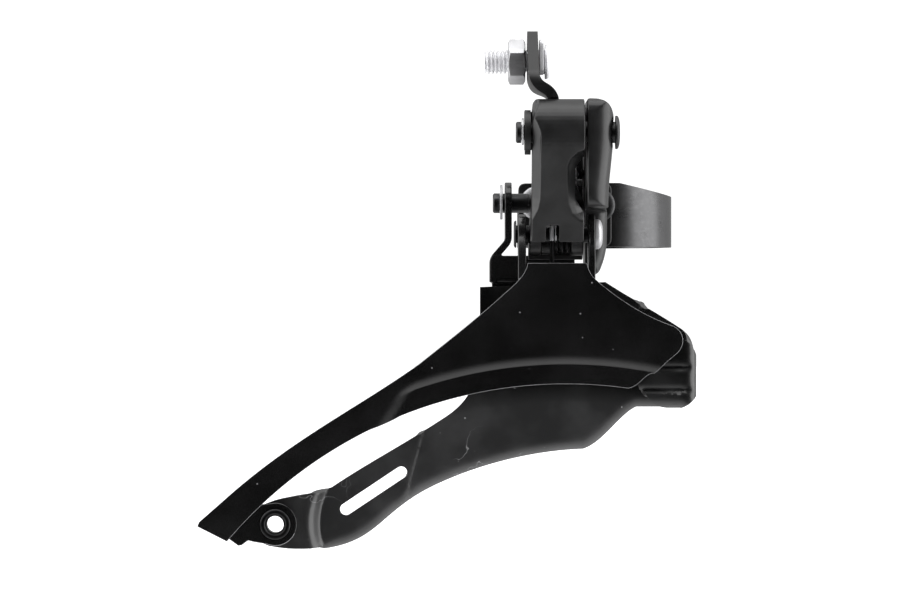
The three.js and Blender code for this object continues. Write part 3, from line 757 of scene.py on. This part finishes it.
def inner_plate():
    ends = ((-50.9, -59.2), (-39.8, -51.8))
    lean = math.degrees(math.atan2(ends[1][1] - ends[0][1], ends[1][0] - ends[0][0]))
    slot = circle(*ends[0], 1.2, 14, lean + 90, 180.0) + circle(*ends[1], 1.2, 14, lean - 90, 180.0)
    holes = [slot, circle(*EYELET, 2.75, 40)]
    # The inner plate takes the lighter copy of the paint, which carries painted light and painted shade
    # under the lip.
    plate = pressed(
        "cage_inner_plate", inner_plate_border(), holes, inner_plate_place, 0.8, inner_guides(),
        LIT_LIP_SHADED_PAINT, LIT_LIP_SHADED_PAINT,
    )
    return stands_for(plate, "inner_plate", angle=40)


# ---- moulded and cast pieces ---------------------------------------------------------------

LINK_TILT = math.atan2(LOWER_PIVOT[0] - UPPER_PIVOT[0], UPPER_PIVOT[1] - LOWER_PIVOT[1])
LINK_LENGTH = math.hypot(LOWER_PIVOT[0] - UPPER_PIVOT[0], LOWER_PIVOT[1] - UPPER_PIVOT[1])
LINK_PLACE = Matrix.Translation(Vector((0, *UPPER_PIVOT)) * MM) @ Matrix.Rotation(LINK_TILT, 4, "X")


def outer_link():
    """The moulded link: an eased left flank, a scoop by the window, and a skirt over the lower barrel."""
    link = copy_node("outer_link", "outer_link_body")
    flank = [(-18.0, -9.0), (-12.2, -9.0), (-12.2, -6.1), (-14.3, -3.2), (-18.0, -3.2)]
    scoop = [(-7.2, -9.0), (-6.8, -6.1), (-5.4, -5.3), (-2.8, -3.1), (2.0, -3.1), (2.0, -9.0)]
    skirt = [(-9.0, -21.2), (-4.3, -21.2)]
    skirt += circle(0, -LINK_LENGTH, 4.3, 12, 172.0, 96.0)
    skirt += [(0, -30), (-9, -30)]
    flank_run = ((9.0, 0.0), (-12.0, 0.0), (-14.0, -0.3), (-16.0, -1.2), (-17.5, -2.4), (-18.5, -4.0))
    scoop_run = (
        (-0.6, 4.4), (-1.6, 2.0), (-3.0, 0.6), (-4.6, 0.0),
        (-13.0, 0.0), (-15.0, 0.6), (-16.4, 2.0), (-17.4, 4.4),
    )
    for cutter in (
        lofted("flank", flank, flank_run, LINK_PLACE),
        lofted("scoop", scoop, scoop_run, LINK_PLACE),
        prism("skirt", skirt, "x", -20.0, 0.0, LINK_PLACE),
    ):
        boolean(link, cutter)
    soften(link, 0.15, 7)
    return stands_for(link, "outer_link", angle=180)


ARM_EDGE = ((24.0, 2.3), (15.5, 2.3), (11.0, 1.95), (5.0, 1.3), (0.0, 1.2))
ARM_FOOT_EDGE = ((0.5, 1.65), (-7.0, 1.5), (-9.0, 1.0), (-11.0, 0.2), (-13.0, -0.6))


def arm_fillet(y, radius, levels, name):
    """A cutter that rounds the arm's upright edge, whose place along X changes with height."""
    corner = circle(-radius, y + radius, radius, 18, -90.0, 90.0)
    return lofted(name, [*corner, (3.0, y + radius), (3.0, y - 2), (-radius, y - 2)], levels)


def bracket():
    """The bracket's arm is rounded along its outer edge, above and below its near step."""
    body = copy_node("bracket", "bracket_body")
    boolean(body, arm_fillet(-55.2, 4.2, ARM_EDGE, "upper_fillet"))
    boolean(body, arm_fillet(-35.3, 2.8, ARM_FOOT_EDGE, "lower_fillet"))
    soften(body, 0.18, 11)
    return stands_for(body, "bracket", angle=180)


def clamp_band():
    """A strap round the seat tube, flat where the bracket lies on it, its two lugs bolted together."""
    high, tube_r, band_r, near_x, lug_y = 12.0, 14.5, 16.1, 4.8, 24.0
    strap = prism("clamp_band_strap", circle(0, 0, band_r, 160), "z", -high, high)
    near_flat = [(-band_r, -band_r, 2.5), (near_x, -band_r, 4.0), (near_x, -3.0, 0), (-band_r, -1.0, 0)]
    boolean(strap, prism("near_flat", rounded(near_flat), "z", -high, high), "UNION")
    lugs = [(-3.1, 13.0), (3.1, 13.0), (3.1, lug_y), (-3.1, lug_y)]
    boolean(strap, prism("lugs", lugs, "z", -6.2, 6.85), "UNION")
    boolean(strap, prism("bore", circle(0, 0, tube_r, 160), "z", -13, 13))
    corner = [(-tube_r, 1.5 - band_r, 1.5), (-4.0, 1.5 - band_r, 0), (-4.0, -6.0, 0), (-tube_r, -1.0, 0)]
    boolean(strap, prism("corner", rounded(corner), "z", -13, 13))
    boolean(strap, prism("split", [(-1.3, 10.0), (1.3, 10.0), (1.3, 25.0), (-1.3, 25.0)], "z", -13, 13))
    side = [(-17, -6.2), (17, -6.2), (17, 4.1), (near_x, 6.85), (-9, 6.85), (-17, 4.1)]
    boolean(strap, prism("side", side, "y", -20, 26), "INTERSECT")
    lug_round = [(-21, -7.2, 0), (lug_y, -7.2, 5), (lug_y, 7.85, 5), (-21, 7.85, 0)]
    boolean(strap, prism("lug_round", rounded(lug_round, 12), "x", -20, 20), "INTERSECT")
    boolean(strap, prism("bolt_hole", circle(*CLAMP_BOLT, 2.9), "x", -9, 9))
    for rivet in BAND_RIVETS.values():
        boolean(strap, prism("rivet_hole", circle(*rivet, 1.9), "y", -30, -8))
    return stands_for(eased(strap, 0.25, 50), "clamp_band", material=BAND_STEEL)


def bent_strip(points, bend, thickness, steps=14):
    """The outline of a strip whose centre line turns smoothly at its corners."""
    corners = [(*points[0], 0), *((*p, bend) for p in points[1:-1]), (*points[-1], 0)]
    line = [Vector(p) for p in rounded(corners, steps)]
    sides = ([], [])
    for i, at in enumerate(line):
        along = (line[min(i + 1, len(line) - 1)] - line[max(i - 1, 0)]).normalized()
        off = Vector((-along.y, along.x)) * thickness / 2
        sides[0].append(tuple(at + off))
        sides[1].append(tuple(at - off))
    return [*sides[0], *reversed(sides[1])]


def box(name, x, y, z):
    return prism(name, [(x[0], y[0]), (x[1], y[0]), (x[1], y[1]), (x[0], y[1])], "z", *z)


def cable_arm():
    """A lever: an S-bent strip up to the clamp bolt, and an ear on the upper pivot behind the link."""
    y, z = UPPER_PIVOT
    arm_x, top_x = -13.4, -9.4
    ear_x, back_y, web_z = (-15.25, -14.1), (-43.4, -42.2), (12.6, 20.2)
    line = bent_strip([(arm_x, 40), (arm_x, 25.7), (top_x, 23.5), (top_x, 16)], 2.2, 2.1)
    arm = prism("cable_arm_lever", line, "y", -60, -20)
    reach = prism("reach", belt(CABLE_BOLT, 6.19, (-47.5, 25.4), 3.4), "x", -20, 0)
    boolean(reach, box("foot", (-20, 0), (-50.5, back_y[1]), (17, 26)), "UNION")
    boolean(arm, reach, "INTERSECT")
    boolean(arm, box("web", (ear_x[0], top_x + 1), back_y, web_z), "UNION")
    boolean(arm, prism("link_top", circle(y, z, 6.9), "x", -14.0, 0))
    boolean(arm, prism("ear", circle(y, z, 4.4), "x", *ear_x), "UNION")
    boolean(arm, box("ear_back", ear_x, (y, back_y[1]), web_z), "UNION")
    boolean(arm, prism("bolt_hole", circle(*CABLE_BOLT, 2.8), "x", -30, 0))
    boolean(arm, prism("pin_hole", circle(y, z, 2.45), "x", -30, 0))
    return stands_for(eased(arm, 0.55, 40), "cable_arm", material=LEVER_STEEL)


def link_bracket():
    pressing = copy_node("link_bracket", "link_bracket_pressing")
    return stands_for(soften(pressing, 0.14, 5), "link_bracket", angle=180)


# ---- links, pins and fasteners -------------------------------------------------------------

def belt(a, ra, b, rb, count=28):
    along = math.degrees(math.atan2(b[1] - a[1], b[0] - a[0]))
    reach = math.degrees(math.acos((ra - rb) / math.hypot(b[0] - a[0], b[1] - a[1])))
    back = circle(*a, ra, count, along + reach, 360 - 2 * reach)
    return back + circle(*b, rb, count, along - reach, 2 * reach)


def inner_link():
    plate = prism("inner_link_plate", belt(INNER_PIVOT, 3.0, CAGE_PIVOT, 3.3), "x", -6.8, -4.6)
    tab = prism("stop_tab", [(-32.3, 5.7), (-28.0, 5.7), (-28.0, 7.1), (-32.3, 7.1)], "x", -6.75, -3.4)
    boolean(plate, tab, "UNION")
    boolean(plate, prism("hole", circle(*INNER_PIVOT, 1.9), "x", -20, 0))
    boolean(plate, prism("hole", circle(*CAGE_PIVOT, 2.5), "x", -20, 0))
    return stands_for(eased(plate, 0.18), "inner_link")


def spring_clip(node, x, pivot, inner, outer):
    ring = circle(*pivot, outer, 44, -62.0, 304.0) + circle(*pivot, inner, 30, 242.0, -304.0)
    return stands_for(eased(prism(node + "_ring", ring, "x", *x), 0.06), node)


def dome(base, top, radius, rise_steps=6):
    """The [along, radius] steps of a low domed head, from its rim to its crown."""
    rim = 0.35 * (top - base)
    steps = [(base, radius), (base + rim, radius)]
    for k in range(1, rise_steps):
        angle = math.pi / 2 * k / rise_steps
        along = base + rim + (top - base - rim) * math.sin(angle)
        steps.append((along, radius * (0.35 + 0.65 * math.cos(angle))))
    return steps + [(top, radius * 0.35)]


def pins():
    stands_for(turned("upper_pivot_rivet", [
        (-17.0, 1.85), (-16.75, 2.1), (-15.95, 2.1), (-15.95, 1.5), (-15.35, 1.5), (-15.35, 2.1),
        (2.6, 2.1), *dome(2.6, 3.5, 3.3),
    ], UPPER_PIVOT, bevel=0.08), "upper_pivot_pin")
    stands_for(turned("inner_pivot_stud", [
        (-7.95, 1.4), (-7.8, 1.6), (-7.55, 1.6), (-7.55, 1.1), (-7.05, 1.1), (-7.05, 1.6), (1.0, 1.6),
    ], INNER_PIVOT, bevel=0.06), "inner_pivot_pin")
    lower = stands_for(turned("lower_pivot_rivet", [
        (-17.3, 2.3), (-17.1, 2.7), (-16.8, 2.7), (-16.8, 1.75), (-1.12, 1.75), *dome(-1.12, 0.4, 3.0),
    ], LOWER_PIVOT, bevel=0.08), "lower_pivot_pin")
    second_finish(lower, DARK_STEEL, lambda at: at.x < -3.0 * MM)
    stands_for(turned("cage_pivot_shaft", [
        (-21.4, 1.7), (-21.15, 2.0), (-20.0, 2.0), (-20.0, 1.4), (-19.4, 1.4), (-19.4, 1.95),
        (-14.2, 1.95), (-14.2, 1.8), (-4.3, 1.8), (-4.3, 2.6), (-3.5, 2.3),
    ], CAGE_PIVOT, bevel=0.07), "cage_pivot_pin")
    spring_clip("upper_pin_clip", (-15.85, -15.45), UPPER_PIVOT, 1.6, 2.8)
    spring_clip("inner_pin_clip", (-7.5, -7.1), INNER_PIVOT, 1.25, 2.5)
    spring_clip("cage_pin_clip", (-19.95, -19.45), CAGE_PIVOT, 1.55, 3.7)


def rivets():
    for node, at in BAND_RIVETS.items():
        head = [(-15.0, 1.6), (-18.9, 1.6), *dome(-18.9, -20.05, 3.5)]
        stands_for(turned(node + "_body", head, at, "y", bevel=0.06), node)
    for node, at in JOIN_RIVETS.items():
        head = [*reversed(dome(-34.9, -35.8, 2.1)), (-34.9, 1.2)]
        body = [*head, (-31.1, 1.2), (-31.1, 1.9), (-30.45, 1.6)]
        stands_for(turned(node + "_body", body, at, "y", segments=40, bevel=0.05), node)


def tail_eyelet():
    """A flared tube: two rolled flanges round a through hole."""
    outside = [(-39.75, 1.95), (-39.95, 2.25), (-39.95, 2.7), (-39.8, 3.0), (-39.5, 3.05), (-39.5, 2.5)]
    outside += [(-36.1, 2.5), (-36.1, 3.05), (-35.85, 3.1), (-35.65, 2.7), (-35.65, 2.2)]
    ring = turned("tail_eyelet_tube", outside, EYELET, "y", bevel=0.08)
    boolean(ring, prism("hole", circle(*EYELET, 1.7, 48), "y", -45, -30))
    return stands_for(ring, "tail_eyelet")


def hexagon(pivot, across_flats, lean):
    corner = across_flats / 2 / math.cos(math.pi / 6)
    return circle(*pivot, corner, 6, lean)


def hex_piece(name, x, pivot, across_flats, lean, chamfer=0.75):
    """A hexagon whose corners are turned down to a cone at both ends."""
    body = prism(name, hexagon(pivot, across_flats, lean), "x", *x)
    corner = across_flats / 2 / math.cos(math.pi / 6) + 0.05
    flat = across_flats / 2 - 0.15
    barrel = turned("barrel", [
        (x[0], flat), (x[0] + chamfer * 0.55, corner), (x[1] - chamfer * 0.55, corner), (x[1], flat),
    ], pivot, bevel=0.001)
    boolean(body, barrel, "INTERSECT")
    return eased(body, 0.07, 25)


def threaded(name, x, pivot, radius=2.45, pitch=0.8, segments=48, per_turn=10):
    """A screw thread with its real pitch: each ring of points follows the helix in and out."""
    depth = 0.27
    bm = bmesh.new()
    count = int((x[1] - x[0]) / pitch * per_turn)
    rings = []
    for row in range(count + 1):
        along = x[0] + (x[1] - x[0]) * row / count
        ring = []
        for i in range(segments):
            turn = i / segments
            wave = abs(((along / pitch - turn) % 1.0) * 2 - 1)
            cut_in = depth * smoothstep(wave, 0.12, 0.9)
            lead = min(along - x[0], 0.5)
            radial = min(radius - 2 * cut_in, radius - 0.55 + lead)
            angle = 2 * math.pi * turn
            spot = (along, pivot[0] + radial * math.cos(angle), pivot[1] + radial * math.sin(angle))
            ring.append(bm.verts.new(Vector(spot) * MM))
        rings.append(ring)
    for one, two in zip(rings, rings[1:]):
        for i in range(segments):
            j = (i + 1) % segments
            bm.faces.new((one[i], two[i], two[j], one[j]))
    bm.faces.new(rings[0])
    bm.faces.new(reversed(rings[-1]))
    return from_bmesh(name, bm)


def cable_clamp():
    thread = threaded("cable_bolt_thread", (-23.2, -14.0), CABLE_BOLT)
    head = turned("cable_bolt_head", [
        (-14.3, 2.45), (-10.9, 2.45), (-10.9, 3.45), (-10.45, 3.45), (-10.1, 3.1),
    ], CABLE_BOLT, bevel=0.08)
    boolean(thread, head, "UNION")
    thread.name = "cable_bolt_body"
    stands_for(thread, "cable_bolt", material=BRIGHT_ZINC, angle=40)
    nut = hex_piece("cable_nut_body", (-18.3, -14.85), CABLE_BOLT, 8.0, -20.0)
    boolean(nut, prism("hole", circle(*CABLE_BOLT, 2.7), "x", -30, 0))
    stands_for(nut, "cable_nut", material=NUT_ZINC)
    y, z = CABLE_BOLT
    plate = prism("cable_plate_body", rounded([
        (y - 4.5, z - 2.45, 1.0), (y + 4.1, z - 2.45, 1.0),
        (y + 4.1, z + 4.35, 1.6), (y - 4.5, z + 4.35, 1.6),
    ]), "x", -12.0, -11.2)
    boolean(plate, prism("hole", circle(*CABLE_BOLT, 2.8), "x", -30, 0))
    stands_for(eased(plate, 0.1), "cable_plate", material=BRIGHT_ZINC)


def clamp_fasteners():
    bolt = hex_piece("clamp_bolt_body", (3.6, 8.0), CLAMP_BOLT, 7.9, 90.0)
    washer = turned("washer_face", [(3.4, 3.95), (3.9, 3.95)], CLAMP_BOLT, bevel=0.1)
    boolean(bolt, washer, "UNION")
    boolean(bolt, threaded("clamp_thread", (-9.5, 3.7), CLAMP_BOLT), "UNION")
    stands_for(bolt, "clamp_bolt", angle=40)
    nut = hex_piece("clamp_nut_body", (-7.8, -3.8), CLAMP_BOLT, 7.9, 90.0)
    boolean(nut, prism("hole", circle(*CLAMP_BOLT, 2.75), "x", -30, 0))
    stands_for(nut, "clamp_nut")


def limit_screws():
    for node in ("low_limit_screw", "high_limit_screw"):
        low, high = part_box(node)
        at = [(low[i] + high[i]) / 2 / MM for i in (0, 1)]
        tip, top = low[2] / MM, high[2] / MM
        screw = turned(node + "_body", [
            (tip, 1.0), (tip + 0.45, 1.55), (top - 2.2, 1.55),
            (top - 2.2, 2.35), (top - 0.5, 2.35), (top, 1.75),
        ], at, "z", 48, 0.1)
        for wide, deep in ((0.36, 1.6), (1.6, 0.36)):
            sides = [(-wide, -deep), (wide, -deep), (wide, deep), (-wide, deep)]
            cross = [(at[0] + u, at[1] + v) for u, v in sides]
            boolean(screw, prism("slot", cross, "z", top - 1.1, top + 1))
        stands_for(screw, node)


# ---- return spring -------------------------------------------------------------------------

def return_spring():
    """A torsion coil: its upper leg lies in the link and its lower leg on the cage."""
    first_x, last_x, coil, turns, legs = -6.7, -9.8, 3.3, 3, (5.3, 6.8)
    start = math.pi + LINK_TILT
    route = []
    count = 140
    for k in range(-10, count + 11):
        s = min(max(k / count, 0), 1)
        angle = start + s * (turns * 2 * math.pi - LINK_TILT)
        along = legs[0] * min(k, 0) / 10 + legs[1] * max(k - count, 0) / 10
        route.append((
            first_x + (last_x - first_x) * s,
            LOWER_PIVOT[0] + coil * math.cos(angle) - along * math.sin(angle),
            LOWER_PIVOT[1] + coil * math.sin(angle) + along * math.cos(angle),
        ))
    curve = bpy.data.curves.new("return_spring_line", "CURVE")
    curve.dimensions = "3D"
    curve.bevel_depth = 0.44 * MM
    curve.bevel_resolution = 4
    curve.use_fill_caps = True
    line = curve.splines.new("POLY")
    line.points.add(len(route) - 1)
    for point, spot in zip(line.points, route):
        point.co = (*(Vector(spot) * MM), 1.0)
    wire = bpy.data.objects.new("return_spring_line", curve)
    bpy.context.scene.collection.objects.link(wire)
    mesh = bpy.data.meshes.new_from_object(wire.evaluated_get(bpy.context.evaluated_depsgraph_get()))
    bpy.data.objects.remove(wire)
    spring = new_object("return_spring_wire", mesh)
    shade(spring, 180)
    spring.data.materials.clear()
    spring.data.materials.append(ZINC)
    # Painted shade: the spring is zinc only at its tip in the slot, and the coil and lower leg inside the
    # knuckle are painted dark.
    second_finish(spring, SPRING_SHADE_STEEL, lambda at: at.z < -5.6 * MM or at.x > -8.9 * MM)
    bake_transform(spring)
    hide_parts("return_spring")
    return spring


# ---- studio --------------------------------------------------------------------------------

def floor():
    bm = bmesh.new()
    bmesh.ops.create_grid(bm, x_segments=8, y_segments=8, size=6.0)
    plane = from_bmesh("studio_floor", bm)
    plane.location.z = -0.115
    paper = Shader("studio_paper", Roughness=0.9)
    paper.colour(paper.ramp(paper.noise(3, 2), (0.3, 0.88), (0.7, 0.90)))
    paper.surface.inputs["Emission Color"].default_value = (1, 1, 1, 1)
    paper.surface.inputs["Emission Strength"].default_value = 0.85
    plane.data.materials.append(paper.material)
    plane.visible_glossy = False


def softbox(name, place, aim, size, radiance):
    light = bpy.data.lights.new(name, "AREA")
    light.shape = "RECTANGLE"
    light.size, light.size_y = size
    light.energy = radiance * math.pi * size[0] * size[1]
    lamp = bpy.data.objects.new(name, light)
    lamp.location = place
    lamp.rotation_euler = (Vector(aim) - Vector(place)).to_track_quat("-Z", "Y").to_euler()
    lamp.visible_camera = False
    bpy.context.scene.collection.objects.link(lamp)


# How bright the room is, from the viewer's side (0) through the sides (0.5) to the far side (1).
ROOM = ((0.04, 0.02), (0.42, 1.1), (0.72, 1.1), (0.96, 0.45))


def studio():
    """A white room that is dark only behind the viewer on the drive side, with soft panels round it."""
    floor()
    world = bpy.data.worlds.new("studio")
    world.use_nodes = True
    bpy.context.scene.world = world
    tree = world.node_tree
    background = tree.nodes["Background"]
    background.inputs["Color"].default_value = (1, 1, 1, 1)
    facing = tree.nodes.new("ShaderNodeSeparateXYZ")
    tree.links.new(tree.nodes.new("ShaderNodeTexCoord").outputs["Generated"], facing.inputs["Vector"])
    depth = tree.nodes.new("ShaderNodeMapRange")
    depth.inputs["From Min"].default_value = -1.0
    tree.links.new(facing.outputs["Y"], depth.inputs["Value"])
    room = tree.nodes.new("ShaderNodeValToRGB")
    room.color_ramp.interpolation = "EASE"
    while len(room.color_ramp.elements) < len(ROOM):
        room.color_ramp.elements.new(0.5)
    for element, (place, level) in zip(room.color_ramp.elements, ROOM):
        element.position = place
        element.color = (level, level, level, 1)
    tree.links.new(depth.outputs["Result"], room.inputs["Fac"])
    seen = tree.nodes.new("ShaderNodeMix")
    tree.links.new(tree.nodes.new("ShaderNodeLightPath").outputs["Is Camera Ray"], seen.inputs["Factor"])
    tree.links.new(room.outputs["Color"], seen.inputs["A"])
    seen.inputs["B"].default_value = 1.15
    tree.links.new(seen.outputs["Result"], background.inputs["Strength"])
    middle = (-0.03, -0.03, -0.01)
    softbox("overhead", (-0.03, -0.15, 0.75), middle, (1.0, 0.7), 1.6)
    softbox("left_side", (-0.75, -0.12, 0.05), middle, (0.7, 1.0), 1.7)
    softbox("right_side", (0.75, -0.12, 0.05), middle, (0.7, 1.0), 2.2)
    bpy.context.scene.view_settings.view_transform = "Standard"


def camera():
    """Square on to the drive side, as far away as the perspective of the piece shows."""
    data = bpy.data.cameras.new("camera")
    data.lens = 168.7
    data.sensor_width = 36.0
    data.clip_end = 50
    eye = bpy.data.objects.new("camera", data)
    eye.location = (-0.028, -0.9, -0.0185)
    eye.rotation_euler = (math.pi / 2, 0, 0)
    bpy.context.scene.collection.objects.link(eye)
    bpy.context.scene.camera = eye


# ---- the whole derailleur ------------------------------------------------------------------

camera()
studio()
outer_plate()
inner_plate()
outer_link()
bracket()
clamp_band()
cable_arm()
link_bracket()
inner_link()
pins()
rivets()
tail_eyelet()
cable_clamp()
clamp_fasteners()
limit_screws()
return_spring()

for node in nodes:
    nodes[node].data.materials.clear()
    nodes[node].data.materials.append(SLOT_MATERIAL[NODE_SLOT[node]])
